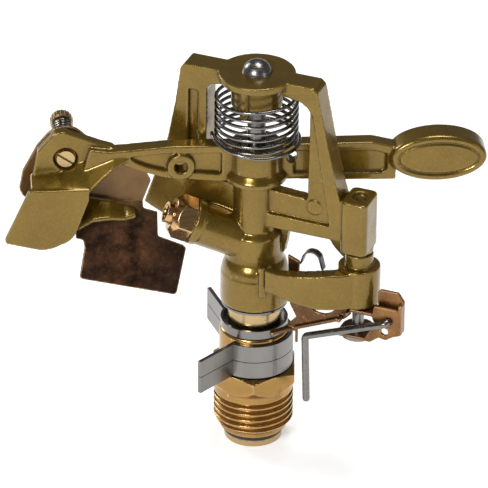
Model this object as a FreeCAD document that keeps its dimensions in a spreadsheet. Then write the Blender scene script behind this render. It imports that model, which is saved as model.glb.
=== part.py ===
import FreeCAD, Part
import Sketcher
import math
import os

# Part-circle impact sprinkler head with a half-inch male inlet, all sizes in millimetres.
# Origin: centre of the inlet thread's lower end.  +Z is the turning axis, upwards.
# The nozzle and the spoon of the hammer arm point to -X, the arm's counterweight to +X.

SIZES = {
    # inlet nipple, a turned and milled piece with a parallel half-inch pipe thread
    "nipple_bore": 5.67, "thread_major": 10.48, "thread_depth": 1.16, "thread_pitch": 1.814,
    "thread_start": 8.9, "thread_pilot": 1.0, "thread_lead_in": 2.6,
    "hex_bottom": 13.0, "hex_top": 18.8, "hex_flats": 21.4,
    "nipple_neck": 9.1, "nipple_top": 30.0, "nipple_round": 1.2,
    # tube that carries the head and turns in the nipple
    "tube_bore": 4.1, "tube_outer": 5.6, "tube_bottom": -3.4, "tube_top": 47.0,
    "flange_radius": 7.6, "flange_top": -1.75,
    # washers between the flange and the nipple
    "washer_bore": 5.65, "slip_radius": 7.5, "slip_height": 0.35, "seal_radius": 7.95, "seal_height": 0.95,
    # spring stack between the nipple and the head
    "cup_radius": 8.8, "cup_floor": 0.7, "cup_wall": 0.6, "cup_height": 2.3,
    "sleeve_outer": 6.95, "sleeve_inner": 6.5, "sleeve_height": 6.4,
    "stack_spring_wire": 0.7, "stack_spring_radius": 6.05, "stack_spring_pitch": 1.55,
    "cover_radius": 8.7, "cover_height": 0.55,
    # trip collars, two split spring bands
    "collar_inner": 9.18, "collar_band": 1.05, "collar_height": 4.6, "collar_lower_base": 19.1,
    "collar_upper_base": 23.9, "collar_open_angle": 129.0, "front_tail": 12.8, "front_tail_angle": 222.5,
    "back_tail": 14.6, "back_tail_angle": 106.0,
    # head casting round the turning axis
    "bell_radius": 9.0, "bell_bottom": 38.0, "bell_shoulder": 47.0, "barrel_radius": 6.9, "barrel_top": 59.5,
    "neck_radius": 5.4, "neck_top": 73.2, "passage": 4.1,
    "jet_rise": 23.0, "jet_origin": 54.5, "branch_radius": 5.7, "branch_length": 18.0, "branch_bore": 3.35,
    # bridge over the arm
    "bridge_turn": -26.5, "bridge_depth": 6.6, "bridge_top": 104.6, "bridge_disc": 10.0, "disc_height": 1.9,
    "boss_radius": 6.6, "boss_bottom": 95.2, "post_reach": 28.9, "post_top": 74.4, "post_bottom": 59.4,
    "post_bore": 1.55,
    # nozzle
    "nozzle_flats": 10.4, "nozzle_hex": 5.6, "nozzle_tip": 2.9, "nozzle_tip_length": 1.7, "nozzle_bore": 1.95,
    "nozzle_spigot": 3.35, "nozzle_spigot_length": 6.0,
    # fulcrum pin and arm bearing
    "pin_radius": 2.38, "pin_head": 3.95, "pin_head_height": 3.3, "pin_foot": 62.0,
    "bush_outer": 3.4, "bush_inner": 2.43, "hub_radius": 6.9, "hub_bottom": 73.9, "hub_top": 84.2,
    "arm_washer": 4.6, "arm_washer_height": 0.5,
    # torsion spring of the arm
    "arm_spring_radius": 10.4, "arm_spring_flare": 11.2, "arm_spring_wire": 0.95, "arm_spring_pitch": 1.9,
    "arm_spring_base": 84.95, "arm_spring_seat": 86.1, "arm_spring_top": 98.6,
    # hammer arm
    "arm_depth": 4.4, "weight_centre": 46.9, "weight_height": 79.35, "weight_long": 12.5,
    "weight_short": 6.55, "weight_depth": 7.6,
    "tab_screw_x": -49.0, "tab_screw_z": 80.7, "tab_front": -0.1, "eye_x": -19.5, "eye_z": 78.6,
    # deflector plate and its spring-loaded screw
    "sheet": 0.9, "plate_front": 3.0, "flap_bend": 66.0, "flap_tilt": 25.0,
    "screw_radius": 1.5, "screw_head": 2.3, "screw_end": 21.9, "knob_radius": 3.0, "knob_length": 3.4,
    # reversing lever, trip plate and trip wire
    "lever_bottom": 43.6, "lever_top": 54.4, "lever_boss": 5.5, "pivot_radius": 1.55,
    "pivot_bottom": 32.2, "trip_low": 34.6, "trip_high": 43.3, "trip_end": 42.5,
    "trip_front": -5.0, "wire_radius": 0.95,
}

NODES = []


def make_document():
    document = FreeCAD.newDocument("ImpactSprinkler")
    sheet = document.addObject("Spreadsheet::Sheet", "Sizes")
    for row, (alias, value) in enumerate(SIZES.items(), start=1):
        sheet.set(f"A{row}", alias)
        sheet.set(f"B{row}", str(value))
        sheet.setAlias(f"B{row}", alias)
    document.recompute()
    return document, sheet


doc, sizes = make_document()


def size(alias):
    return float(getattr(sizes, alias))


def keep(feature, label):
    feature.Label = label
    NODES.append(feature)
    return feature


def vector(x, y, z):
    return FreeCAD.Vector(x, y, z)


def turn_z(angle):
    return FreeCAD.Placement(vector(0, 0, 0), FreeCAD.Rotation(vector(0, 0, 1), angle))


# ---------------------------------------------------------------- turned pieces as PartDesign bodies


def origin_plane(body, role):
    return next(feature for feature in body.Origin.OriginFeatures if feature.Role == role)


def bound_profile(body, name, corners):
    """Closed sketch on the body's XZ plane; each corner is a pair of sheet names, radius and height."""
    sketch = body.newObject("Sketcher::SketchObject", name)
    sketch.AttachmentSupport = [(origin_plane(body, "XZ_Plane"), "")]
    sketch.MapMode = "FlatFace"
    points = [vector(size(radius), size(height), 0) for radius, height in corners]
    for here, there in zip(points, points[1:] + points[:1]):
        sketch.addGeometry(Part.LineSegment(here, there), False)
    for index, (radius, height) in enumerate(corners):
        before = (index - 1) % len(corners)
        sketch.addConstraint(Sketcher.Constraint("Coincident", before, 2, index, 1))
        distances = (("DistanceX", radius, points[index].x), ("DistanceY", height, points[index].y))
        for kind, alias, value in distances:
            number = sketch.addConstraint(Sketcher.Constraint(kind, -1, 1, index, 1, value))
            sketch.setExpression(f"Constraints[{number}]", f"Sizes.{alias}")
    return sketch


def turned_body(label, corners):
    body = doc.addObject("PartDesign::Body", label)
    sketch = bound_profile(body, label + "_profile", corners)
    turn = body.newObject("PartDesign::Revolution", label + "_turned")
    turn.Profile = sketch
    turn.ReferenceAxis = (sketch, ["V_Axis"])
    turn.Angle = 360.0
    sketch.Visibility = False
    return body


def ring(label, outer, inner, height, base):
    """A plain washer or sleeve: two Part cylinders and a cut, every size bound to the sheet."""
    solids = []
    for name, radius in (("outer", outer), ("inner", inner)):
        solid = doc.addObject("Part::Cylinder", f"{label}_{name}")
        solid.setExpression("Radius", radius)
        solid.setExpression("Height", height)
        solid.setExpression("Placement.Base.z", base)
        solids.append(solid)
    cut = doc.addObject("Part::Cut", label)
    cut.Base, cut.Tool = solids
    return keep(cut, label)


# ---------------------------------------------------------------- shapes made with Part's functions


def feature(label, shape, placement=None):
    part = doc.addObject("Part::Feature", label)
    part.Shape = shape
    if placement is not None:
        part.Placement = placement.multiply(part.Placement)
    return keep(part, label)


def path_face(points):
    """Face in the XZ plane from corner points; a triple (x, z, middle) makes an arc through its middle."""
    edges = []
    count = len(points)
    for index, point in enumerate(points):
        following = points[(index + 1) % count]
        start = vector(point[0], 0, point[1])
        stop = vector(following[0], 0, following[1])
        if len(point) == 3:
            middle = vector(point[2][0], 0, point[2][1])
            edges.append(Part.Arc(start, middle, stop).toShape())
        else:
            edges.append(Part.LineSegment(start, stop).toShape())
    return Part.Face(Part.Wire(edges))


def upright(points, front, back):
    """Solid with an XZ outline, from y = front to y = back."""
    face = path_face(points)
    face.translate(vector(0, front, 0))
    return face.extrude(vector(0, back - front, 0))


def flat(points, bottom, top):
    """Solid with an XY outline, from z = bottom to z = top."""
    face = path_face(points)
    face.rotate(vector(0, 0, 0), vector(1, 0, 0), -90)
    face.translate(vector(0, 0, bottom))
    return face.extrude(vector(0, 0, top - bottom))


def rod(radius, start, stop):
    start, stop = vector(*start), vector(*stop)
    return Part.makeCylinder(radius, (stop - start).Length, start, stop - start)


def block(x, y, z):
    return Part.makeBox(x[1] - x[0], y[1] - y[0], z[1] - z[0], vector(x[0], y[0], z[0]))


def fuse(shapes):
    return shapes[0].multiFuse(shapes[1:]).removeSplitter()


def coil(radius, wire, pitch, turns, base):
    """Round-wire helical spring about Z, its lowest wire centre at z = base."""
    helix = Part.makeHelix(pitch, pitch * turns, radius)
    profile = Part.Wire(Part.makeCircle(wire / 2, vector(radius, 0, 0), vector(0, 1, 0)))
    solid = Part.Wire(helix).makePipeShell([profile], True, True)
    solid.translate(vector(0, 0, base))
    return solid


def stretched_coil(stations, wire):
    """Round-wire spring whose (turns, radius, height) change linearly from station to station."""
    points = []
    for (turn, radius, height), (next_turn, next_radius, next_height) in zip(stations, stations[1:]):
        steps = max(2, round((next_turn - turn) * 16))
        for step in range(steps):
            share = step / steps
            angle = 2 * math.pi * (turn + share * (next_turn - turn))
            reach = radius + share * (next_radius - radius)
            points.append(vector(reach * math.cos(angle), reach * math.sin(angle),
                                 height + share * (next_height - height)))
    turn, radius, height = stations[-1]
    end = 2 * math.pi * turn
    points.append(vector(radius * math.cos(end), radius * math.sin(end), height))
    curve = Part.BSplineCurve()
    curve.interpolate(points)
    pieces = 2 * math.ceil(stations[-1][0] - stations[0][0])
    cuts = [curve.FirstParameter + (curve.LastParameter - curve.FirstParameter) * k / pieces
            for k in range(pieces + 1)]
    path = Part.Wire([curve.toShape(low, high) for low, high in zip(cuts, cuts[1:])])
    start = Part.Circle(points[0], curve.tangent(curve.FirstParameter)[0], wire / 2)
    return path.makePipeShell([Part.Wire(start.toShape())], True, True)


def bent_rod(points, radius, bend):
    """Round bar along corner points, every corner bent to the same inner line radius."""
    corners = [vector(*point) for point in points]
    edges = []
    start = corners[0]
    for before, corner, after in zip(corners, corners[1:], corners[2:]):
        into = (corner - before).normalize()
        out = (after - corner).normalize()
        half = into.getAngle(out) / 2
        leave = corner - into * (bend * math.tan(half))
        join = corner + out * (bend * math.tan(half))
        inward = (out - into).normalize()
        middle = corner + inward * (bend / math.cos(half) - bend)
        edges.append(Part.LineSegment(start, leave).toShape())
        edges.append(Part.Arc(leave, middle, join).toShape())
        start = join
    edges.append(Part.LineSegment(start, corners[-1]).toShape())
    path = Part.Wire(edges)
    direction = corners[1] - corners[0]
    profile = Part.Wire(Part.makeCircle(radius, corners[0], direction))
    return path.makePipeShell([profile], True, True)


# ---------------------------------------------------------------- inlet nipple


def bearing_nipple():
    major, start, lead = size("thread_major"), size("thread_start"), size("thread_lead_in")
    low, high, flats = size("hex_bottom"), size("hex_top"), size("hex_flats")
    neck, top, bore = size("nipple_neck"), size("nipple_top"), size("nipple_bore")
    threaded = Part.makeCylinder(major, low).cut(Part.makeCylinder(bore, low))
    threaded = threaded.cut(thread_groove(major, size("thread_depth"), size("thread_pitch"), low - 1.2))
    pilot = size("thread_pilot")
    kept = Part.makeCylinder(start, pilot).fuse(Part.makeCone(start, major, lead - pilot, vector(0, 0, pilot)))
    threaded = threaded.cut(Part.makeCylinder(major + 1, lead).cut(kept))
    neck_shape = Part.makeCylinder(neck, top - low + 0.5, vector(0, 0, low - 0.5))
    rim = [e for e in neck_shape.Edges if abs(e.BoundBox.ZMin - top) < 1e-6 and e.BoundBox.XLength > 1]
    neck_shape = neck_shape.makeFillet(size("nipple_round"), rim)
    corner = flats / math.sqrt(3)
    ends = [vector(corner * math.cos(math.radians(a)), corner * math.sin(math.radians(a)), low)
            for a in range(-95, 266, 60)]
    hexagon = Part.Face(Part.makePolygon(ends)).extrude(vector(0, 0, high - low))
    tall = high - low + 1.0
    hexagon = hexagon.common(Part.makeCone(2 * corner, flats / 2 - 0.3, tall, vector(0, 0, low - 1.0)))
    hexagon = hexagon.common(Part.makeCone(flats / 2 - 0.2, corner + 3.0, tall, vector(0, 0, low)))
    upper = fuse([neck_shape, hexagon]).cut(Part.makeCylinder(bore, top + 2, vector(0, 0, -1)))
    return feature("bearing_nipple", threaded.fuse(upper))


def thread_groove(major, depth, pitch, top):
    """Vee-shaped helical groove that cuts the inlet thread from below the end up to top."""
    half = pitch * 0.42
    turns_height = top + 2 * pitch
    helix = Part.makeHelix(pitch, turns_height, major)
    over = 0.35
    corners = [vector(major - depth, 0, 0.12), vector(major + over, 0, half), vector(major + over, 0, -half),
               vector(major - depth, 0, -0.12)]
    profile = Part.makePolygon(corners + corners[:1])
    solid = Part.Wire(helix).makePipeShell([profile], True, True)
    solid.translate(vector(0, 0, -2 * pitch))
    return solid


def trip_collar(label, base):
    """Split band with a short front tail and a longer back tail, which set where the head turns round."""
    inner, band, height = size("collar_inner"), size("collar_band"), size("collar_height")
    outer, middle = inner + band, inner + band / 2
    opening = size("collar_open_angle")
    full = Part.makeCylinder(outer, height, vector(0, 0, base)).cut(
        Part.makeCylinder(inner, height, vector(0, 0, base)))
    reach = 2 * outer
    gap = flat([(0, 0), (reach * math.cos(math.radians(opening)), reach * math.sin(math.radians(opening))),
                (-reach * 2, 0), (reach * math.cos(math.radians(opening)),
                                  -reach * math.sin(math.radians(opening)))], base - 1, base + height + 1)
    pieces = [full.cut(gap)]
    tails = ((-opening, size("front_tail_angle"), size("front_tail")),
             (opening, size("back_tail_angle"), size("back_tail")))
    for root, heading, length in tails:
        x, y = middle * math.cos(math.radians(root)), middle * math.sin(math.radians(root))
        tail = block((-band * 0.45, length), (-band / 2, band / 2), (base, base + height))
        tail.rotate(vector(0, 0, 0), vector(0, 0, 1), heading)
        tail.translate(vector(x, y, 0))
        pieces.append(tail)
    bar = fuse(pieces)
    for angle in (-65.0, -60.0):
        crease = rod(0.16, (0, 0, base - 1), (0, 0, base + height + 1))
        crease.translate(vector(outer * math.cos(math.radians(angle)), outer * math.sin(math.radians(angle)), 0))
        bar = bar.cut(crease)
    return feature(label, bar)


# ---------------------------------------------------------------- stem, washers and spring stack


def stem_tube():
    body = turned_body("stem_tube", [
        ("tube_bore", "tube_bottom"), ("flange_radius", "tube_bottom"), ("flange_radius", "flange_top"),
        ("tube_outer", "flange_top"), ("tube_outer", "tube_top"), ("tube_bore", "tube_top")])
    return keep(body, "stem_tube")


def seal_stack():
    ring("slip_washer_lower", "Sizes.slip_radius", "Sizes.washer_bore", "Sizes.slip_height", "Sizes.flange_top")
    ring("seal_washer", "Sizes.seal_radius", "Sizes.washer_bore", "Sizes.seal_height",
         "Sizes.flange_top + Sizes.slip_height")
    ring("slip_washer_upper", "Sizes.slip_radius", "Sizes.washer_bore", "Sizes.slip_height",
         "Sizes.flange_top + Sizes.slip_height + Sizes.seal_height")


def spring_stack():
    top, floor, bore = size("nipple_top"), size("cup_floor"), size("washer_bore") + 0.05
    radius, wall, height = size("cup_radius"), size("cup_wall"), size("cup_height")
    base = top + 0.02
    cup = Part.makeCylinder(radius, height, vector(0, 0, base))
    cup = cup.cut(Part.makeCylinder(radius - wall, height, vector(0, 0, base + floor)))
    feature("spring_cup", cup.cut(Part.makeCylinder(bore, height, vector(0, 0, base))))
    sleeve_base = "Sizes.nipple_top + Sizes.cup_floor + 0.1"
    ring("spring_sleeve", "Sizes.sleeve_outer", "Sizes.sleeve_inner", "Sizes.sleeve_height", sleeve_base)
    ring("cover_washer", "Sizes.cover_radius", "Sizes.washer_bore", "Sizes.cover_height",
         sleeve_base + " + Sizes.sleeve_height")
    wire, pitch = size("stack_spring_wire"), size("stack_spring_pitch")
    low = base + floor + wire / 2 + 0.06
    room = top + floor + 0.1 + size("sleeve_height") - wire / 2 - 0.06 - low
    feature("bearing_spring", coil(size("stack_spring_radius"), wire, pitch, room / pitch, low))


# ---------------------------------------------------------------- head casting


def bridge_leg_left(depth):
    """Left leg with its flared foot, in the bridge's own frame (x along the bridge, y away)."""
    outline = [(-8.0, 104.6), (-18.9, 104.6), (-19.9, 103.2), (-21.3, 93.0), (-23.5, 81.5), (-28.0, 68.6),
               (-30.6, 60.6), (-24.0, 57.6), (-12.0, 53.6), (-4.0, 53.6), (-4.0, 72.4), (-12.6, 72.4),
               (-12.6, 97.8, (-12.0, 99.4)), (-10.4, 100.2), (-8.0, 100.6)]
    leg = upright(outline, -depth / 2, depth / 2)
    foot = upright([(-40, 73.8), (-40, 50), (0, 50), (0, 73.8)], -depth, depth)
    foot = foot.common(leg).common(block((-40, 0), (-1.6, 2.4), (40, 80)))
    above = leg.common(block((-40, 0), (-depth, depth), (72.0, 110)))
    channel = block((-17.6, -15.0), (-depth, -depth / 2 + 1.3), (72.0, 97.4))
    pip = rod(1.0, (-14.3, -depth / 2 - 0.25, 85.6), (-14.3, 0, 85.6))
    return fuse([above.cut(channel), foot, pip])


def bridge_leg_right(depth):
    """Right leg: a thin panel between two rails, the cross bar to the neck and the ejector mark."""
    front = -depth / 2
    panel = upright([(8.0, 104.6), (16.6, 104.6), (17.8, 103.4), (20.8, 88.2), (23.6, 76.2), (25.6, 70.0),
                     (26.6, 66.0), (26.6, 61.6), (4.0, 61.6), (4.0, 72.2), (15.1, 71.4),
                     (15.4, 97.4, (14.8, 99.2)), (13.0, 100.0), (8.0, 100.6)], front + 1.1, -front)
    rail = upright([(8.0, 104.6), (16.6, 104.6), (17.8, 103.4), (20.8, 88.2), (23.6, 76.2), (25.6, 70.0),
                    (26.6, 66.0), (26.6, 61.6), (4.0, 61.6), (4.0, 65.6), (21.6, 65.4), (16.5, 96.4),
                    (15.2, 98.4), (13.0, 100.0),
                    (8.0, 100.6)], front, 0)
    cross = upright([(4.0, 65.0), (4.0, 72.2), (15.1, 71.4), (21.0, 65.0)], front + 1.1, -front - 1.8)
    hollow = block((4.0, 14.6), (-front - 2.6, -front + 1), (64.0, 80.0))
    mark = rod(2.0, (17.1, front + 0.75, 69.6), (17.1, 0, 69.6))
    gusset = upright([(19.0, 62.0), (24.8, 62.0), (24.8, 54.8), (24.2, 54.8, (21.4, 57.6))], 0.6, 3.0)
    rear_web = upright([(3.0, 62.0), (8.6, 62.0), (8.2, 56.0), (7.4, 52.0), (3.0, 52.0)], 1.6, 4.0)
    return fuse([panel.cut(hollow), rail, cross, mark, gusset, rear_web])


def post_block():
    reach, low, high = size("post_reach"), size("post_bottom"), size("post_top")
    post = block((reach - 3.8, reach + 3.4), (-5.3, 4.4), (low, high))
    upright_edges = [e for e in post.Edges if abs(e.BoundBox.ZLength - (high - low)) < 1e-6]
    post = post.makeFillet(1.6, upright_edges)
    rim = [e for e in post.Edges if abs(e.BoundBox.ZMin - high) < 1e-6]
    post = post.makeFillet(0.5, rim)
    collar = Part.makeCylinder(3.6, 0.9, vector(reach, 0, low - 0.9))
    return fuse([post, collar])


def body_casting():
    depth, turn = size("bridge_depth"), size("bridge_turn")
    bell, bottom, shoulder = size("bell_radius"), size("bell_bottom"), size("bell_shoulder")
    barrel, barrel_top = size("barrel_radius"), size("barrel_top")
    neck, neck_top = size("neck_radius"), size("neck_top")
    outline = [(0, bottom), (bell, bottom), (bell, shoulder - 0.5), (bell - 0.25, shoulder),
               (bell - 0.3, shoulder + 0.5, (bell - 0.8, shoulder + 2.3)), (barrel + 0.5, shoulder + 3.6),
               (barrel, shoulder + 5.6), (barrel, barrel_top - 1.4), (neck, barrel_top), (neck, neck_top),
               (0, neck_top)]
    barrel_shape = path_face(outline).revolve(vector(0, 0, 0), vector(0, 0, 1), 360)
    rise = math.radians(size("jet_rise"))
    start = (0, 0, size("jet_origin"))

    def along(reach):
        return (-reach * math.cos(rise), 0, size("jet_origin") + reach * math.sin(rise))

    branch = rod(size("branch_radius"), start, along(size("branch_length")))
    lip = rod(size("branch_radius") + 0.35, along(size("branch_length") - 2.2), along(size("branch_length")))
    rib = block((bell - 0.6, bell + 1.1), (-0.85, 0.85), (43.2, 52.0))
    rib.rotate(vector(0, 0, 0), vector(0, 0, 1), -83.5)
    top, disc = size("bridge_top"), size("bridge_disc")
    cap = Part.makeCylinder(disc, size("disc_height"), vector(0, 0, top - size("disc_height")))
    boss = Part.makeCylinder(size("boss_radius"), top - size("boss_bottom"), vector(0, 0, size("boss_bottom")))
    lug = rod(1.3, (0, 0, size("boss_bottom") - 1.2), (0, 0, top - 1))
    lug.translate(vector(-3.6, -5.6, 0))
    bridge = [bridge_leg_left(depth), bridge_leg_right(depth), post_block()]
    for piece in bridge:
        piece.rotate(vector(0, 0, 0), vector(0, 0, 1), turn)
    casting = fuse([barrel_shape, branch, lip, rib, cap, boss, lug] + bridge)
    reach = size("post_reach")
    post_x, post_y = reach * math.cos(math.radians(turn)), reach * math.sin(math.radians(turn))
    cuts = [
        Part.makeCylinder(size("tube_outer"), size("tube_top") - bottom + 1, vector(0, 0, bottom - 1)),
        Part.makeCylinder(size("passage"), size("jet_origin") - bottom, vector(0, 0, bottom)),
        rod(size("branch_bore"), start, along(size("branch_length") + 1)),
        Part.makeCylinder(size("pin_radius"), top - size("pin_foot") + 1, vector(0, 0, size("pin_foot"))),
        Part.makeCylinder(size("post_bore"), 30, vector(post_x, post_y, size("post_bottom") - 5)),
        Part.makeCylinder(2.2, 5, vector(post_x, post_y, 73.2)),
    ]
    return feature("body_casting", casting.cut(Part.makeCompound(cuts)))


def main_nozzle():
    """Hexagonal nozzle screwed into the branch: spigot, chamfered hexagon and a plain tip."""
    bore, tip, spigot = size("nozzle_bore"), size("nozzle_tip"), size("nozzle_spigot")
    long_hex, flats = size("nozzle_hex"), size("nozzle_flats")
    corner = flats / math.sqrt(3)
    ends = [vector(corner * math.cos(math.radians(a)), corner * math.sin(math.radians(a)), 0)
            for a in range(26, 387, 60)]
    hexagon = Part.Face(Part.makePolygon(ends)).extrude(vector(0, 0, long_hex))
    hexagon = hexagon.common(Part.makeCone(corner + 3.4, flats / 2 - 0.9, long_hex))
    total = size("nozzle_tip_length") + long_hex
    solid = fuse([
        Part.makeCylinder(spigot, size("nozzle_spigot_length"), vector(0, 0, -size("nozzle_spigot_length"))),
        hexagon,
        Part.makeCylinder(flats / 2 + 0.1, 0.5),
        Part.makeCylinder(tip, total),
    ])
    taper = Part.makeCone(spigot - 0.7, bore, total + size("nozzle_spigot_length"),
                          vector(0, 0, -size("nozzle_spigot_length")))
    flare = Part.makeCone(bore, bore + 0.45, 0.6, vector(0, 0, total - 0.6))
    solid = solid.cut(taper).cut(flare)
    rise = math.radians(size("jet_rise"))
    reach = size("branch_length") + 0.02
    base = vector(-reach * math.cos(rise), 0, size("jet_origin") + reach * math.sin(rise))
    axis = vector(-math.cos(rise), 0, math.sin(rise))
    return feature("main_nozzle", solid, FreeCAD.Placement(base, FreeCAD.Rotation(vector(0, 0, 1), axis)))


def fulcrum_pin():
    top, head, rise = size("bridge_top"), size("pin_head"), size("pin_head_height")
    shank = Part.makeCylinder(size("pin_radius"), top - size("pin_foot"), vector(0, 0, size("pin_foot")))
    ball = (head * head + rise * rise) / (2 * rise)
    dome = Part.makeSphere(ball, vector(0, 0, top + rise - ball))
    dome = dome.common(Part.makeCylinder(head, rise + 1, vector(0, 0, top)))
    return feature("fulcrum_pin", fuse([shank, dome]))


# ---------------------------------------------------------------- hammer arm


def arm_beam():
    """The I-section beam and its rails, outline in XZ, either side of y = 0."""
    half = size("arm_depth") / 2
    outline = [(-4.0, 84.2), (-22.0, 84.5), (-34.0, 83.6), (-38.0, 83.4), (-43.0, 84.2), (-44.6, 78.0),
               (-41.0, 77.4),
               (-35.0, 79.9, (-29.5, 77.4)), (-23.0, 75.4), (-10.0, 73.9), (-4.0, 73.9), (10.0, 73.9),
               (24.0, 73.2), (36.0, 72.9), (36.0, 82.4), (30.0, 84.0), (4.0, 84.2)]
    beam = upright(outline, -half, half)
    left = upright([(-9.0, 82.2), (-24.0, 82.5), (-33.0, 81.8), (-31.5, 80.4, (-28.0, 78.8)), (-23.0, 77.4),
                    (-9.0, 76.0)], -half - 1, -half + 1.3)
    right = upright([(9.6, 82.2), (30.0, 81.6), (33.6, 80.6), (33.6, 76.0), (32.4, 75.0), (9.6, 75.6)],
                    -half - 1, -half + 1.1)
    back = upright([(-9.0, 82.2), (-24.0, 82.5), (-33.0, 81.8), (-31.0, 79.9), (-23.0, 77.4), (-9.0, 76.0)],
                   half - 1.0, half + 1)
    back_right = upright([(9.6, 82.2), (32.0, 81.6), (32.0, 75.0), (9.6, 75.6)], half - 1.0, half + 1)
    return beam.cut(left).cut(right).cut(back).cut(back_right)


def counterweight():
    """Oval weight at the end of the arm with a plain raised rim round a sunk oval panel."""
    long_axis, short_axis, deep = size("weight_long"), size("weight_short"), size("weight_depth")

    def oval(grow, front, back):
        ellipse = Part.Ellipse(vector(0, 0, 0), long_axis + grow, short_axis + grow)
        face = Part.Face(Part.Wire(ellipse.toShape()))
        face.rotate(vector(0, 0, 0), vector(1, 0, 0), 90)
        face.translate(vector(size("weight_centre"), front, size("weight_height")))
        return face.extrude(vector(0, back - front, 0))

    solid = oval(0, -deep / 2, deep / 2)
    edges = [e for e in solid.Edges if e.BoundBox.YLength < 0.01]
    solid = solid.makeFillet(1.1, edges)
    for side in (-1, 1):
        panel = oval(-1.7, side * (deep / 2 - 0.55), side * (deep / 2 + 1))
        inner = oval(-2.5, side * (deep / 2 - 0.6), side * (deep / 2 - 0.1))
        solid = solid.cut(panel.cut(inner))
    return solid


def spoon():
    """Spoon at the jet end: screw tab, sloping shelf, slanted drive panel and the floor under the jet."""
    screw_x, screw_z = size("tab_screw_x"), size("tab_screw_z")
    face = size("tab_front")
    tab = upright([(-36.6, 83.6), (-40.2, 84.8), (-48.0, 88.0, (-49.6, 88.5)), (-52.0, 88.0), (-56.2, 83.0),
                   (-57.6, 75.9), (-46.0, 75.9), (-36.6, 78.2)], face, size("plate_front") - 0.06)

    panel = upright([(-43.4, 75.0), (-58.9, 75.0), (-64.9, 61.4, (-64.9, 60.2)), (-63.9, 59.6),
                     (-58.4, 58.2, (-53.6, 57.8)), (-50.6, 59.0, (-47.6, 61.0)), (-46.4, 63.4), (-43.5, 71.8)],
                    -6.5, -5.0)

    def slab(x, low, high, thick):
        """Section across X of a sheet that rises from low to high, both given as (y, z)."""
        run, rise = high[0] - low[0], high[1] - low[1]
        length = math.hypot(run, rise)
        across, down = thick * rise / length, -thick * run / length
        corners = [vector(x, low[0], low[1]), vector(x, high[0], high[1]),
                   vector(x, high[0] + across, high[1] + down), vector(x, low[0] + across, low[1] + down)]
        return Part.makePolygon(corners + corners[:1])

    shelf = Part.makeLoft([
        slab(-58.2, (-6.5, 74.6), (0.9, 76.4), 1.4),
        slab(-50.5, (-6.5, 74.7), (0.9, 77.3), 1.5),
        slab(-47.4, (-6.5, 74.7), (0.9, 79.1), 1.5),
        slab(-43.3, (-6.5, 74.5), (0.9, 81.9), 1.6),
    ], True, True)
    cheek = Part.makeLoft([
        slab(-43.3, (-6.5, 74.5), (0.9, 81.9), 1.6),
        slab(-37.0, (-4.1, 79.6), (-0.6, 83.1), 1.8),
        slab(-32.4, (-2.3, 81.2), (-1.4, 83.2), 1.8),
    ], True, True)
    floor = Part.makeLoft([
        slab(-46.2, (-6.1, 63.4), (1.6, 68.4), 1.3),
        slab(-42.3, (-4.6, 65.0), (1.6, 68.2), 1.3),
        slab(-37.7, (-3.5, 64.8), (1.6, 67.2), 1.3),
        slab(-33.8, (-2.5, 64.0), (1.6, 65.9), 1.3),
        slab(-31.0, (-1.6, 64.6), (1.6, 65.1), 1.3),
    ], True, True)
    riser = upright([(-46.4, 63.2), (-43.3, 71.8), (-43.3, 74.9), (-44.9, 74.9), (-48.0, 66.0)], -6.4, -3.6)
    spine = upright([(-56.2, 77.0), (-56.6, 74.0), (-46.2, 65.8), (-44.4, 65.8), (-44.4, 78.6)], 0.4, 1.9)
    solid = fuse([tab, panel, shelf, cheek, floor, riser, spine])
    recess = rod(3.1, (screw_x, face - 2.0, screw_z), (screw_x, face + 1.7, screw_z))
    hole = rod(size("screw_radius"), (screw_x, -6.0, screw_z), (screw_x, 6.0, screw_z))
    return solid.cut(recess).cut(hole)


def hammer_arm():
    half = size("arm_depth") / 2
    low, high, radius = size("hub_bottom"), size("hub_top"), size("hub_radius")
    outline = [(0, low), (radius + 1.1, low), (radius + 1.3, low + 0.5), (radius + 1.3, low + 1.4),
               (radius, low + 3.2), (radius, high - 0.4), (radius - 0.4, high), (0, high)]
    hub = path_face(outline).revolve(vector(0, 0, 0), vector(0, 0, 1), 360)
    eye = rod(3.5, (size("eye_x"), -half - 0.5, size("eye_z")), (size("eye_x"), half + 0.2, size("eye_z")))
    solid = fuse([hub, arm_beam(), eye, counterweight(), spoon()])
    hook_hole = rod(1.35, (9.2, -6, 80.2), (9.2, 6, 80.2))
    eye_hole = rod(1.8, (size("eye_x"), -6, size("eye_z")), (size("eye_x"), 6, size("eye_z")))
    bore = Part.makeCylinder(size("bush_outer"), high - low + 2, vector(0, 0, low - 1))
    return feature("hammer_arm", solid.cut(Part.makeCompound([hook_hole, eye_hole, bore])))


def arm_bearing():
    ring("arm_bush", "Sizes.bush_outer", "Sizes.bush_inner", "Sizes.hub_top - Sizes.hub_bottom + 0.1",
         "Sizes.hub_bottom - 0.1")
    ring("arm_washer_lower", "Sizes.arm_washer", "Sizes.bush_inner", "Sizes.arm_washer_height",
         "Sizes.neck_top + 0.02")
    ring("arm_washer_upper", "Sizes.arm_washer", "Sizes.bush_inner", "Sizes.arm_washer_height",
         "Sizes.hub_top + 0.1")


def arm_spring():
    """Torsion spring: a wide seat turn on the arm's hub, close coils and a stretched top turn."""
    radius, flare, pitch = size("arm_spring_radius"), size("arm_spring_flare"), size("arm_spring_pitch")
    base, seat, top = size("arm_spring_base"), size("arm_spring_seat"), size("arm_spring_top")
    close = 5.2
    stations = [(0.5, flare + 0.3, base + 2.2), (0.75, flare - 0.2, base), (1.05, flare, base),
                (1.5, radius, seat - 0.4), (1.75, radius, seat), (1.75 + close, radius, seat + close * pitch),
                (8.0, radius, top)]
    return feature("arm_spring", stretched_coil(stations, size("arm_spring_wire")))


# ---------------------------------------------------------------- deflector


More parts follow.
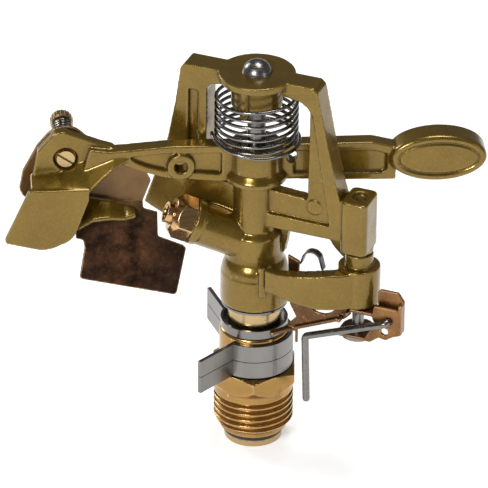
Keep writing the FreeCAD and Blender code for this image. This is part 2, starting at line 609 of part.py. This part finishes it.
def deflector_plate():
    sheet, front, bend = size("sheet"), size("plate_front"), size("flap_bend")
    upper = upright([(-42.4, 84.6), (-45.6, 87.6, (-50.6, 88.4)), (-53.6, 86.6), (-56.2, 83.4), (-60.0, 76.0),
                     (-60.6, 72.4, (-60.6, 69.8)), (-57.6, 67.4), (-46.6, bend), (-29.0, bend), (-26.9, 71.9),
                     (-29.0, 76.4), (-38.0, 82.0)], front, front + sheet)
    # the flap is drawn upright below the bend line and then swung forward about that line
    flap = upright([(-46.6, bend), (-46.6, 56.6), (-44.7, 56.1), (-44.4, 54.4), (-45.9, 46.6),
                    (-45.2, 46.0), (-21.5, 41.2), (-20.8, 41.8), (-18.1, 53.2), (-18.8, 54.0),
                    (-25.3, 56.6), (-25.3, 62.9), (-28.9, 64.0), (-29.0, bend)], front, front + sheet)
    flap.rotate(vector(0, front + sheet / 2, bend), vector(1, 0, 0), -size("flap_tilt"))
    bend_bar = rod(sheet / 2, (-46.6, front + sheet / 2, bend), (-29.0, front + sheet / 2, bend))
    solid = fuse([upper, flap, bend_bar])
    hole = rod(size("screw_radius") + 0.06, (size("tab_screw_x"), 0, size("tab_screw_z")),
               (size("tab_screw_x"), 9, size("tab_screw_z")))
    return feature("deflector_plate", solid.cut(hole))


def deflector_hardware():
    x, z = size("tab_screw_x"), size("tab_screw_z")
    radius, end, back = size("screw_radius"), size("screw_end"), size("plate_front") + size("sheet")
    knob, knob_long, face = size("knob_radius"), size("knob_length"), size("tab_front")
    slot = block((x - 3, x + 3), (-5.0, face + 0.8), (z - 0.35, z + 0.35))
    slot.rotate(vector(x, 0, z), vector(0, 1, 0), 35)
    screw = fuse([rod(size("screw_head"), (x, face + 0.1, z), (x, face + 1.68, z)),
                  rod(radius, (x, face + 1.3, z), (x, end, z))])
    feature("deflector_screw", screw.cut(slot))
    washer = rod(2.9, (x, back + 0.1, z), (x, back + 0.7, z)).cut(rod(radius + 0.06, (x, 0, z), (x, 20, z)))
    feature("deflector_washer", washer)
    wire, pitch = 0.7, 1.25
    run = end - knob_long - 0.5 - back - 0.75 - wire
    spring = coil(2.25, wire, pitch, run / pitch, 0)
    spring.rotate(vector(0, 0, 0), vector(1, 0, 0), -90)
    spring.translate(vector(x, back + 0.75 + wire / 2, z))
    feature("deflector_spring", spring)
    nut = rod(knob, (x, end - knob_long, z), (x, end - 0.4, z))
    rim = [e for e in nut.Edges if e.BoundBox.YLength < 0.01]
    nut = nut.makeChamfer(0.4, rim)
    flutes = []
    for index in range(18):
        angle = 2 * math.pi * index / 18
        fx, fz = x + (knob + 0.12) * math.cos(angle), z + (knob + 0.12) * math.sin(angle)
        flutes.append(rod(0.32, (fx, end - knob_long - 1, fz), (fx, end + 1, fz)))
    nut = nut.cut(Part.makeCompound(flutes))
    nut = nut.cut(rod(radius, (x, 0, z), (x, end + 2, z)))
    feature("deflector_nut", nut)


# ---------------------------------------------------------------- reversing gear, built in the bridge's frame


def reversing_lever():
    reach, low, high = size("post_reach"), size("lever_bottom"), size("lever_top")
    boss = size("lever_boss")
    wall = flat([(6.3, -9.2, (18.5, -9.9)), (28.9, -boss), (28.9, -boss + 3.0), (24.6, -3.6, (15.0, -6.6)),
                 (6.3, -6.9)], low, high - 0.6)
    # the wall is lower towards its tip and its underside rises to the tip
    wall = wall.cut(upright([(0, low - 1), (0, 45.9), (9.0, 45.7), (20.0, low + 0.2), (24.0, low - 1)], -12, 12))
    wall = wall.cut(upright([(0, 60), (0, 51.9), (10.0, 52.2), (22.0, 53.6), (30.0, 54.4), (30.0, 60)], -12, 12))
    hub = Part.makeCylinder(boss, high - low, vector(reach, 0, low))
    neck = Part.makeCylinder(3.7, 58.2 - high, vector(reach, 0, high))
    solid = fuse([wall, hub, neck])
    solid = solid.cut(Part.makeCylinder(size("pivot_radius") + 0.06, 40, vector(reach, 0, 30)))
    return feature("reversing_lever", solid, turn_z(size("bridge_turn")))


def trip_plate():
    """Folded sheet: long web with a half-moon notch, two leaves round the pivot pin and an end box."""
    reach, low, high, sheet = size("post_reach"), size("trip_low"), size("trip_high"), size("sheet")
    front = size("trip_front")
    back = front + sheet
    web = upright([(11.0, 55.6), (14.2, 54.2), (14.0, 44.6), (16.4, 43.4, (20.6, 40.1)), (24.6, 43.2),
                   (25.2, high), (reach - 0.4, high), (reach - 0.4, 41.6), (27.0, 40.0), (14.6, 34.6),
                   (11.6, 33.4), (10.6, 34.2), (13.6, 37.6), (11.8, 41.0)], front, back)
    lip = flat([(13.6, front - 0.9), (26.6, front - 0.9), (26.6, front + 0.2), (13.6, front + 0.2)], 0, sheet)
    lip.rotate(vector(13.6, 0, 0), vector(0, 1, 0), -math.degrees(math.atan2(5.8, 13.0)))
    lip.translate(vector(0, 0, 34.1))

    def leaf(right, bottom):
        return flat([(reach - 4.4, front), (right, front), (right, -2.0), (reach + 4.4, 1.0, (reach, 4.6)),
                     (reach - 4.4, 0.6)], bottom, bottom + sheet)

    upper = leaf(reach + 8.0, high - sheet)
    lower = leaf(reach + 5.3, low)
    finger = flat([(7.6, -8.9), (8.8, -9.9), (12.6, front - 0.4), (14.0, front), (14.0, back), (11.0, back)],
                  33.4, 34.3)
    tang = block((13.3, 14.0), (front + 0.1, front + 0.8), (29.8, 35.5))
    edge = size("trip_end")
    cheek = upright([(34.6, high), (34.6, 41.4), (36.0, 40.0), (34.0, 38.2), (32.6, 35.6),
                     (32.6, 34.7), (34.4, 34.9), (36.4, 36.5),
                     (38.3, 36.1), (40.2, 37.4), (42.1, 38.2), (edge, 38.6), (edge, 44.9), (41.9, 45.6),
                     (35.0, 45.6)], front, back)
    end = block((edge - sheet, edge), (front, -2.0), (38.4, 47.0))
    far = upright([(35.3, high - sheet), (35.3, 49.0), (35.9, 49.6), (40.8, 49.6), (edge, 47.2),
                   (edge, high - sheet)], -2.0 - sheet, -2.0)
    deck = block((reach + 4, edge - 0.6), (front, -2.0), (high - sheet, high))
    ears = [block((25.6, 26.7), (front - 2.6, front + 0.3), (40.2, 41.1)),
            block((27.6, 28.4), (front - 1.6, front + 0.3), (42.0, 42.9))]
    solid = fuse([web, lip, upper, lower, finger, tang, cheek, end, far, deck] + ears)
    holes = [
        Part.makeCylinder(size("pivot_radius") + 0.06, 20, vector(reach, 0, 30)),
        rod(1.0, (38.0, front - 3, 38.6), (38.0, back + 0.5, 38.6)),
        rod(size("wire_radius") + 0.06, (39.1, front - 3, 42.0), (39.1, -2.0 - sheet - 0.3, 42.0)),
    ]
    return feature("trip_plate", solid.cut(Part.makeCompound(holes)), turn_z(size("bridge_turn")))


def toggle_spring():
    """Ribbon bent into an arch between the trip plate's tab and the reversing lever."""
    thick, wide, front = 0.45, 2.0, size("trip_front")
    face = path_face([(14.0, 53.2), (14.6, 55.3, (17.0, 57.4)), (19.6, 56.0), (20.5, 52.6), (20.5 - thick, 52.6),
                      (19.6 - thick, 55.8, (17.0, 57.4 - thick)), (14.6 + thick, 55.1), (14.0 + thick, 53.2)])
    face.translate(vector(0, front + 0.9, 0))
    return feature("toggle_spring", face.extrude(vector(0, wide, 0)), turn_z(size("bridge_turn")))


def trip_wire():
    """Bent rod: hooked end in the trip plate, a sloping run and the upright leg that meets the collars."""
    radius, ahead = size("wire_radius"), size("trip_front") - 1.35
    points = [(39.1, -4.0, 42.0), (39.1, ahead, 42.0), (16.7, ahead, 33.3), (17.3, ahead, 14.6)]
    wire = bent_rod(points, radius, 1.2)
    tip = Part.makeSphere(radius, vector(*points[-1]))
    return feature("trip_wire", fuse([wire, tip]), turn_z(size("bridge_turn")))


def trip_pivot():
    reach, low, radius = size("post_reach"), size("pivot_bottom"), size("pivot_radius")
    pin = Part.makeCylinder(radius, 73.2 - low, vector(reach, 0, low))
    groove = Part.makeCylinder(radius + 1, 0.6, vector(reach, 0, low + 0.5)).cut(
        Part.makeCylinder(radius - 0.4, 0.6, vector(reach, 0, low + 0.5)))
    feature("trip_pivot_pin", pin.cut(groove), turn_z(size("bridge_turn")))
    clip = Part.makeCylinder(2.9, 0.5, vector(reach, 0, low + 0.55)).cut(
        Part.makeCylinder(radius - 0.35, 0.5, vector(reach, 0, low + 0.55)))
    clip = clip.cut(block((reach, reach + 5), (-0.9, 0.9), (low, low + 3)))
    feature("pivot_clip", clip, turn_z(size("bridge_turn")))
    washer = Part.makeCylinder(4.3, 1.1, vector(reach, 0, low + 1.2)).cut(
        Part.makeCylinder(radius + 0.05, 1.1, vector(reach, 0, low + 1.2)))
    feature("pivot_washer", washer, turn_z(size("bridge_turn")))


def check_and_write():
    doc.recompute()
    faults = [o.Label for o in doc.Objects if "Invalid" in o.State or "Error" in o.State]
    for node in NODES:
        if node.Shape.isNull() or not node.Shape.isValid():
            faults.append(node.Label + " shape")
    if faults:
        raise RuntimeError("not built: " + ", ".join(faults))
    os.makedirs("parts", exist_ok=True)
    for node in NODES:
        node.Shape.exportStep(f"parts/{node.Label}.step")
        box = node.Shape.BoundBox
        print(f"{node.Label:22s} {len(node.Shape.Solids)} solid(s) {node.Shape.Volume:9.1f} mm3  "
              f"z {box.ZMin:7.2f} to {box.ZMax:7.2f}")


bearing_nipple()
trip_collar("trip_collar_lower", size("collar_lower_base"))
trip_collar("trip_collar_upper", size("collar_upper_base"))
stem_tube()
seal_stack()
spring_stack()
body_casting()
main_nozzle()
fulcrum_pin()
arm_bearing()
hammer_arm()
arm_spring()
deflector_plate()
deflector_hardware()
reversing_lever()
trip_plate()
toggle_spring()
trip_wire()
trip_pivot()
check_and_write()
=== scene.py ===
import math

import bmesh
import bpy
from mathutils import Matrix, Vector


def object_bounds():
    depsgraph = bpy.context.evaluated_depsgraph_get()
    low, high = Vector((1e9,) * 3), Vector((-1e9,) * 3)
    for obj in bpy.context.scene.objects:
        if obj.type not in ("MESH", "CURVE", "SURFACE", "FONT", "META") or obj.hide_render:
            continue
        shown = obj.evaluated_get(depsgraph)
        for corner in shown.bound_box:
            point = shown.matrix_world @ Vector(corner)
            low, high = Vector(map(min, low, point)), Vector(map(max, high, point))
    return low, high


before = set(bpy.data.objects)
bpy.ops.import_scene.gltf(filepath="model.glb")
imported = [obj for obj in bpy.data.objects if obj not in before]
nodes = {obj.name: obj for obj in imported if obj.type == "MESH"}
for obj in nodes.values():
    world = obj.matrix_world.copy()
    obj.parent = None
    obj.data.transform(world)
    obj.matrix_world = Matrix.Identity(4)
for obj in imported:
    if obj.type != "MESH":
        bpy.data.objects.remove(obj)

cad_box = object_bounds()


# ---------------------------------------------------------------- node material helper


class Surface:
    """One procedural material: a Principled shader fed by object-space noise fields."""

    def __init__(self, name, **sockets):
        self.material = bpy.data.materials.new(name)
        self.material.use_nodes = True
        self.tree = self.material.node_tree
        self.shader = self.tree.nodes["Principled BSDF"]
        for key, value in sockets.items():
            self.shader.inputs[key.replace("_", " ")].default_value = value
        self.place = self.add("ShaderNodeTexCoord").outputs["Object"]
        self.normal = None

    def add(self, kind, **settings):
        node = self.tree.nodes.new(kind)
        for key, value in settings.items():
            setattr(node, key, value)
        return node

    def link(self, output, target):
        self.tree.links.new(output, target)

    def scaled(self, scale):
        """Object coordinates stretched by a different factor along each axis."""
        mapping = self.add("ShaderNodeMapping")
        mapping.inputs["Scale"].default_value = scale
        self.link(self.place, mapping.inputs["Vector"])
        return mapping.outputs["Vector"]

    def noise(self, scale, detail=4.0, rough=0.55, stretch=None, distort=0.0):
        node = self.add("ShaderNodeTexNoise")
        node.inputs["Scale"].default_value = scale
        node.inputs["Detail"].default_value = detail
        node.inputs["Roughness"].default_value = rough
        node.inputs["Distortion"].default_value = distort
        self.link(self.scaled(stretch) if stretch else self.place, node.inputs["Vector"])
        return node.outputs["Fac"]

    def ramp(self, field, stops):
        """Colour that runs through the stops, each a (position, colour) pair, as the field rises."""
        node = self.add("ShaderNodeValToRGB")
        band = node.color_ramp
        while len(band.elements) < len(stops):
            band.elements.new(0.5)
        for element, (at, value) in zip(band.elements, stops):
            element.position = at
            element.color = (*value, 1.0)
        self.link(field, node.inputs["Fac"])
        return node.outputs["Color"]

    def span(self, field, low, high, start=0.0, stop=1.0):
        """Goes from low to high while the field goes from start to stop, and stays level outside."""
        node = self.add("ShaderNodeMapRange", clamp=True)
        for key, value in (("From Min", start), ("From Max", stop), ("To Min", low), ("To Max", high)):
            node.inputs[key].default_value = value
        self.link(field, node.inputs["Value"])
        return node.outputs["Result"]

    def mix(self, amount, first, second):
        """First colour where amount is 0, second where it is 1."""
        node = self.add("ShaderNodeMix", data_type="RGBA", blend_type="MIX", clamp_result=True)
        self.link(amount, node.inputs[0])
        for socket, value in ((node.inputs[6], first), (node.inputs[7], second)):
            if isinstance(value, tuple):
                socket.default_value = (*value, 1.0)
            else:
                self.link(value, socket)
        return node.outputs[2]

    def maths(self, how, first, second):
        node = self.add("ShaderNodeMath", operation=how)
        for socket, value in zip(node.inputs, (first, second)):
            if isinstance(value, float):
                socket.default_value = value
            else:
                self.link(value, socket)
        return node.outputs[0]

    def axis(self, letter):
        node = self.add("ShaderNodeSeparateXYZ")
        self.link(self.place, node.inputs[0])
        return node.outputs[letter]

    def edges(self, low=0.5, high=0.58):
        """0 on flats, 1 on convex edges."""
        geometry = self.add("ShaderNodeNewGeometry")
        return self.span(geometry.outputs["Pointiness"], 0.0, 1.0, low, high)

    def hollows(self, low=0.42, high=0.5):
        """1 in concave corners, 0 elsewhere."""
        geometry = self.add("ShaderNodeNewGeometry")
        return self.span(geometry.outputs["Pointiness"], 1.0, 0.0, low, high)

    def bump(self, height, distance, strength):
        """Adds one layer of relief, distance in metres, on top of the layers before it."""
        node = self.add("ShaderNodeBump")
        node.inputs["Distance"].default_value = distance
        node.inputs["Strength"].default_value = strength
        self.link(height, node.inputs["Height"])
        if self.normal is not None:
            self.link(self.normal, node.inputs["Normal"])
        self.normal = node.outputs["Normal"]
        self.link(self.normal, self.shader.inputs["Normal"])

    def feed(self, socket, output):
        self.link(output, self.shader.inputs[socket])


def olive_paint():
    """Khaki-gold lacquer over a die casting: metallic flake, orange peel, painted shade in the corners,
    painted highlights on the edges.
    """
    s = Surface("olive_casting_lacquer", Metallic=0.7, IOR=1.4, Coat_Weight=0.5, Coat_Roughness=0.06)
    cloud = s.noise(90, 3.0)
    grain = s.noise(1500, 2.0)
    tint = s.ramp(cloud, [(0.3, (0.168, 0.1, 0.009)), (0.7, (0.215, 0.132, 0.016))])
    tint = s.mix(s.span(grain, 0.0, 0.3, 0.45, 0.75), tint, (0.3, 0.2, 0.04))
    tint = s.mix(s.span(s.noise(34, 5.0), 0.0, 0.35, 0.56, 0.7), tint, (0.145, 0.085, 0.01))
    # painted shade: concave corners darkened where shade falls in the recesses
    tint = s.mix(s.maths("MULTIPLY", s.hollows(), 0.85), tint, (0.035, 0.02, 0.003))
    # painted highlight: convex edges lightened where the lacquer catches the light
    tint = s.mix(s.maths("MULTIPLY", s.edges(), 0.3), tint, (0.45, 0.35, 0.14))
    s.feed("Base Color", tint)
    s.feed("Roughness", s.span(s.noise(220, 4.0), 0.2, 0.38, 0.3, 0.7))
    s.bump(s.noise(420, 2.0), 0.00004, 0.6)
    s.bump(s.noise(60, 2.0), 0.00012, 0.5)
    return s.material


def turned_brass(name="turned_brass", base=(0.42, 0.245, 0.08), dark=(0.17, 0.075, 0.018), shine=0.2):
    """Brass with lathe rings about the axis, thin tarnish, painted shade in the corners and painted
    highlights on the edges.
    """
    s = Surface(name, Metallic=1.0)
    cloud = s.noise(120, 5.0)
    tint = s.ramp(cloud, [(0.35, base), (0.75, tuple(0.8 * c for c in base))])
    stain = s.span(s.noise(45, 6.0, distort=1.2), 0.0, 0.8, 0.54, 0.68)
    tint = s.mix(stain, tint, dark)
    # painted shade: concave corners darkened where shade falls
    tint = s.mix(s.maths("MULTIPLY", s.hollows(0.4, 0.49), 0.9), tint, tuple(0.3 * c for c in dark))
    # painted highlight: convex edges lightened
    tint = s.mix(s.maths("MULTIPLY", s.edges(), 0.5), tint, (0.85, 0.64, 0.33))
    s.feed("Base Color", tint)
    rings = s.noise(60, 3.0, stretch=(0.4, 0.4, 90.0))
    s.feed("Roughness", s.maths("ADD", s.span(rings, shine - 0.05, shine + 0.13, 0.3, 0.7),
                                s.span(stain, 0.0, 0.18)))
    s.bump(rings, 0.000012, 0.6)
    return s.material


def brushed_steel(name, tone=0.58, rough=0.3, stretch=(1.0, 1.0, 40.0)):
    """Stainless strip or wire: fine drawn lines, faint warm stains, painted shade in the corners."""
    s = Surface(name, Metallic=1.0)
    lines = s.noise(120, 3.0, stretch=stretch)
    dull = (tone * 0.8, tone * 0.76, tone * 0.7)
    bright = (tone, tone * 0.97, tone * 0.93)
    tint = s.ramp(lines, [(0.3, dull), (0.7, bright)])
    tint = s.mix(s.span(s.noise(70, 5.0), 0.0, 0.5, 0.56, 0.72), tint, (0.33, 0.3, 0.26))
    # painted shade: concave corners darkened
    tint = s.mix(s.maths("MULTIPLY", s.hollows(0.42, 0.49), 0.7), tint, (0.08, 0.075, 0.07))
    s.feed("Base Color", tint)
    s.feed("Roughness", s.span(lines, rough - 0.08, rough + 0.12, 0.3, 0.7))
    s.bump(lines, 0.00001, 0.5)
    return s.material


def bronze_sheet(name, light, dark, rough=0.36):
    """Passivated bronze sheet: mottled brown film, bare flecks, bright sheared edges that are partly bare
    metal and partly painted highlight, and painted shade on the web under the lever.
    """
    s = Surface(name, Metallic=0.85, Coat_Weight=0.25, Coat_Roughness=0.2)
    mottle = s.noise(160, 6.0, rough=0.7)
    tint = s.ramp(mottle, [(0.34, dark), (0.66, light)])
    # painted shade: the web at low X, under the reversing lever, is darkened for the shadow it sits in
    tint = s.mix(s.span(s.axis("X"), 0.0, 0.62, 0.031, 0.023), tint, tuple(0.35 * c for c in dark))
    flecks = s.span(s.noise(900, 3.0, rough=0.7), 0.0, 0.4, 0.58, 0.7)
    tint = s.mix(flecks, tint, tuple(min(1.0, 1.9 * c) for c in light))
    # edges lightened: partly bare sheared metal, partly painted highlight
    tint = s.mix(s.maths("MULTIPLY", s.edges(0.51, 0.6), 0.8), tint, (0.62, 0.38, 0.2))
    s.feed("Base Color", tint)
    s.feed("Roughness", s.span(mottle, rough - 0.06, rough + 0.16, 0.3, 0.7))
    s.bump(mottle, 0.00003, 0.5)
    return s.material


def deflector_film():
    """The deflector's sheet: a mottled film, painted tan on the lit upright plate and painted dark on the
    lower flap for the shade it sits in.
    """
    s = Surface("deflector_film", Metallic=0.8, Coat_Weight=0.3, Coat_Roughness=0.18)
    mottle = s.noise(210, 6.0, rough=0.72)
    upper = s.ramp(mottle, [(0.34, (0.13, 0.068, 0.02)), (0.66, (0.2, 0.11, 0.038))])
    lower = s.ramp(mottle, [(0.36, (0.024, 0.01, 0.003)), (0.64, (0.12, 0.05, 0.02))])
    # painted light and shade: lighter above the fold height, darker on the flap below it
    height = s.maths("ADD", s.axis("Z"), s.span(s.noise(90, 3.0), -0.003, 0.003))
    tint = s.mix(s.span(height, 0.0, 1.0, 0.060, 0.067), lower, upper)
    tint = s.mix(s.span(s.noise(38, 2.0), 0.0, 0.7, 0.42, 0.58), tint, (0.018, 0.008, 0.004))
    flecks = s.span(s.noise(1000, 3.0, rough=0.7), 0.0, 0.28, 0.56, 0.74)
    tint = s.mix(flecks, tint, (0.22, 0.11, 0.05))
    # edges lightened: partly bare sheared metal, partly painted highlight
    tint = s.mix(s.maths("MULTIPLY", s.edges(0.51, 0.6), 0.9), tint, (0.6, 0.4, 0.22))
    s.feed("Base Color", tint)
    s.feed("Roughness", s.span(mottle, 0.28, 0.5, 0.3, 0.7))
    s.bump(mottle, 0.00003, 0.5)
    return s.material


def seal_rubber():
    """Black rubber with a faint dusty bloom."""
    s = Surface("seal_rubber", IOR=1.5)
    powder = s.noise(260, 4.0)
    s.feed("Base Color", s.ramp(powder, [(0.35, (0.008, 0.008, 0.008)), (0.75, (0.035, 0.034, 0.032))]))
    s.feed("Roughness", s.span(powder, 0.42, 0.62, 0.3, 0.7))
    s.bump(s.noise(900, 2.0), 0.00002, 0.5)
    return s.material


def slip_plastic():
    """Off-white bearing plastic, slightly cloudy."""
    s = Surface("slip_plastic", IOR=1.38, Subsurface_Weight=0.05)
    cloud = s.noise(200, 4.0)
    s.feed("Base Color", s.ramp(cloud, [(0.3, (0.55, 0.5, 0.4)), (0.75, (0.72, 0.69, 0.6))]))
    s.feed("Roughness", s.span(cloud, 0.35, 0.55, 0.3, 0.7))
    s.bump(cloud, 0.00002, 0.4)
    return s.material


OLIVE = olive_paint()
BRASS = turned_brass()
NOZZLE_BRASS = turned_brass("nozzle_brass", (0.62, 0.38, 0.17), (0.16, 0.07, 0.03), 0.17)
STEM_BRASS = turned_brass("stem_brass", (0.13, 0.066, 0.026), (0.05, 0.024, 0.009), 0.24)
SCREW_BRASS = turned_brass("screw_brass", (0.2, 0.115, 0.045), (0.08, 0.04, 0.015), 0.26)
COPPER = turned_brass("sleeve_copper", (0.11, 0.055, 0.022), (0.04, 0.018, 0.007), 0.2)
BAND_STEEL = brushed_steel("band_steel", 0.27, 0.3, (1.0, 1.0, 0.08))
CUP_STEEL = brushed_steel("cup_steel", 0.24, 0.2)
PIN_STEEL = brushed_steel("pin_steel", 0.27, 0.27)
WIRE_STEEL = brushed_steel("wire_steel", 0.22, 0.22, (8.0, 8.0, 8.0))
SPRING_STEEL = brushed_steel("spring_steel", 0.24, 0.2, (8.0, 8.0, 8.0))
RIBBON_STEEL = brushed_steel("ribbon_steel", 0.16, 0.28, (8.0, 8.0, 8.0))
BRONZE = bronze_sheet("trip_bronze", (0.3, 0.145, 0.045), (0.12, 0.048, 0.014), 0.26)
DEFLECTOR = deflector_film()
RUBBER = seal_rubber()
SLIP = slip_plastic()

FINISH = {
    "bearing_nipple": BRASS, "stem_tube": STEM_BRASS, "spring_sleeve": COPPER, "spring_cup": CUP_STEEL,
    "cover_washer": CUP_STEEL, "trip_collar_lower": BAND_STEEL, "trip_collar_upper": BAND_STEEL,
    "slip_washer_lower": SLIP, "slip_washer_upper": SLIP, "seal_washer": RUBBER,
    "bearing_spring": SPRING_STEEL,
    "body_casting": OLIVE, "main_nozzle": NOZZLE_BRASS, "fulcrum_pin": PIN_STEEL, "arm_bush": SLIP,
    "arm_washer_lower": CUP_STEEL, "arm_washer_upper": CUP_STEEL, "hammer_arm": OLIVE,
    "arm_spring": SPRING_STEEL, "deflector_plate": DEFLECTOR, "deflector_screw": SCREW_BRASS,
    "deflector_washer": CUP_STEEL, "deflector_spring": SPRING_STEEL, "deflector_nut": SCREW_BRASS,
    "reversing_lever": OLIVE, "trip_plate": BRONZE, "toggle_spring": RIBBON_STEEL, "trip_wire": WIRE_STEEL,
    "trip_pivot_pin": PIN_STEEL, "pivot_clip": CUP_STEEL, "pivot_washer": CUP_STEEL,
}

# Voxel size in metres and rounds of smoothing for the nodes with softened edges.
SKINS = {
    "body_casting": (0.00026, 9), "hammer_arm": (0.00026, 9), "reversing_lever": (0.00026, 9),
    "trip_plate": (0.00022, 2), "deflector_plate": (0.00022, 2),
    "main_nozzle": (0.00015, 3), "bearing_nipple": (0.00018, 2),
}

# ---------------------------------------------------------------- edges of the carried-over nodes


def dress(name, material):
    """Gives a node its one material."""
    node = nodes[name]
    node.data.materials.clear()
    node.data.materials.append(material)


def cast_edges(name, voxel, rounds):
    """Gives a casting the soft edges and fillets of a die-cast part."""
    node = nodes[name]
    remesh = node.modifiers.new("skin", "REMESH")
    remesh.mode = "VOXEL"
    remesh.voxel_size = voxel
    remesh.use_smooth_shade = True
    smooth = node.modifiers.new("soften", "SMOOTH")
    smooth.factor = 0.5
    smooth.iterations = rounds


for name, material in FINISH.items():
    dress(name, material)
for name, (voxel, rounds) in SKINS.items():
    cast_edges(name, voxel, rounds)


# ---------------------------------------------------------------- stage, light and camera


def studio():
    """Plain pale floor under the part."""
    floor_mesh = bpy.data.meshes.new("floor")
    work = bmesh.new()
    bmesh.ops.create_grid(work, x_segments=8, y_segments=8, size=4.0)
    work.to_mesh(floor_mesh)
    work.free()
    floor = bpy.data.objects.new("floor", floor_mesh)
    bpy.context.scene.collection.objects.link(floor)
    floor.location.z = cad_box[0].z - 0.0002
    s = Surface("pale_floor", IOR=1.4)
    cloud = s.noise(3, 3.0)
    s.feed("Base Color", s.ramp(cloud, [(0.3, (0.86, 0.86, 0.86)), (0.7, (0.89, 0.89, 0.89))]))
    s.feed("Roughness", s.span(cloud, 0.7, 0.8))
    s.shader.inputs["Emission Color"].default_value = (1.0, 1.0, 1.0, 1.0)
    s.shader.inputs["Emission Strength"].default_value = 0.5
    floor.data.materials.append(s.material)


def softbox(name, at, aim, width, height, power):
    """Rectangular lamp at one point, turned to face another."""
    data = bpy.data.lights.new(name, "AREA")
    data.shape = "RECTANGLE"
    data.size, data.size_y = width, height
    data.energy = power
    lamp = bpy.data.objects.new(name, data)
    bpy.context.scene.collection.objects.link(lamp)
    lamp.location = at
    lamp.rotation_euler = (Vector(aim) - Vector(at)).to_track_quat("-Z", "Y").to_euler()


def world_light():
    """Soft grey surroundings, a little brighter below."""
    world = bpy.data.worlds.new("room")
    bpy.context.scene.world = world
    world.use_nodes = True
    tree = world.node_tree
    place = tree.nodes.new("ShaderNodeTexCoord")
    split = tree.nodes.new("ShaderNodeSeparateXYZ")
    ramp = tree.nodes.new("ShaderNodeValToRGB")
    tree.links.new(place.outputs["Generated"], split.inputs[0])
    tree.links.new(split.outputs["Z"], ramp.inputs["Fac"])
    ramp.color_ramp.elements[0].color = (0.5, 0.5, 0.5, 1.0)
    ramp.color_ramp.elements[1].color = (0.3, 0.3, 0.31, 1.0)
    background = tree.nodes["Background"]
    background.inputs["Strength"].default_value = 0.3
    tree.links.new(ramp.outputs["Color"], background.inputs["Color"])


def camera():
    """Looks 30 degrees down, 5 degrees round to the nozzle's side, with a long lens."""
    elevation, azimuth, roll = math.radians(30.0), math.radians(-5.0), math.radians(0.62)
    distance, target = 1.5, Vector((0.0, 0.0, 0.055))
    shift_right, shift_up = 0.00289, 0.00109
    right = Vector((math.cos(azimuth), math.sin(azimuth), 0.0))
    back = Vector((math.sin(azimuth) * math.cos(elevation), -math.cos(azimuth) * math.cos(elevation),
                   math.sin(elevation)))
    up = back.cross(right)
    tilted_right = right * math.cos(roll) + up * math.sin(roll)
    tilted_up = up * math.cos(roll) - right * math.sin(roll)
    place = target + back * distance - tilted_right * shift_right - tilted_up * shift_up
    data = bpy.data.cameras.new("camera")
    data.sensor_width = 36.0
    data.lens = 426.8
    data.clip_start, data.clip_end = 0.05, 20.0
    eye = bpy.data.objects.new("camera", data)
    bpy.context.scene.collection.objects.link(eye)
    turn = Matrix((tilted_right, tilted_up, back)).transposed()
    eye.matrix_world = Matrix.Translation(place) @ turn.to_4x4()
    bpy.context.scene.camera = eye


MIDDLE = (0, 0, 0.06)

studio()
world_light()
softbox("key", (-0.6, -0.95, 0.75), MIDDLE, 0.4, 0.35, 10.0)
softbox("fill", (0.9, -0.75, 0.35), MIDDLE, 0.2, 0.45, 0.7)
softbox("top", (0.15, 0.1, 1.1), MIDDLE, 0.5, 0.3, 5.0)
softbox("rim", (-0.7, 0.7, 0.45), (0, 0, 0.07), 0.3, 0.4, 3.0)
camera()
bpy.context.scene.view_settings.view_transform = "Standard"
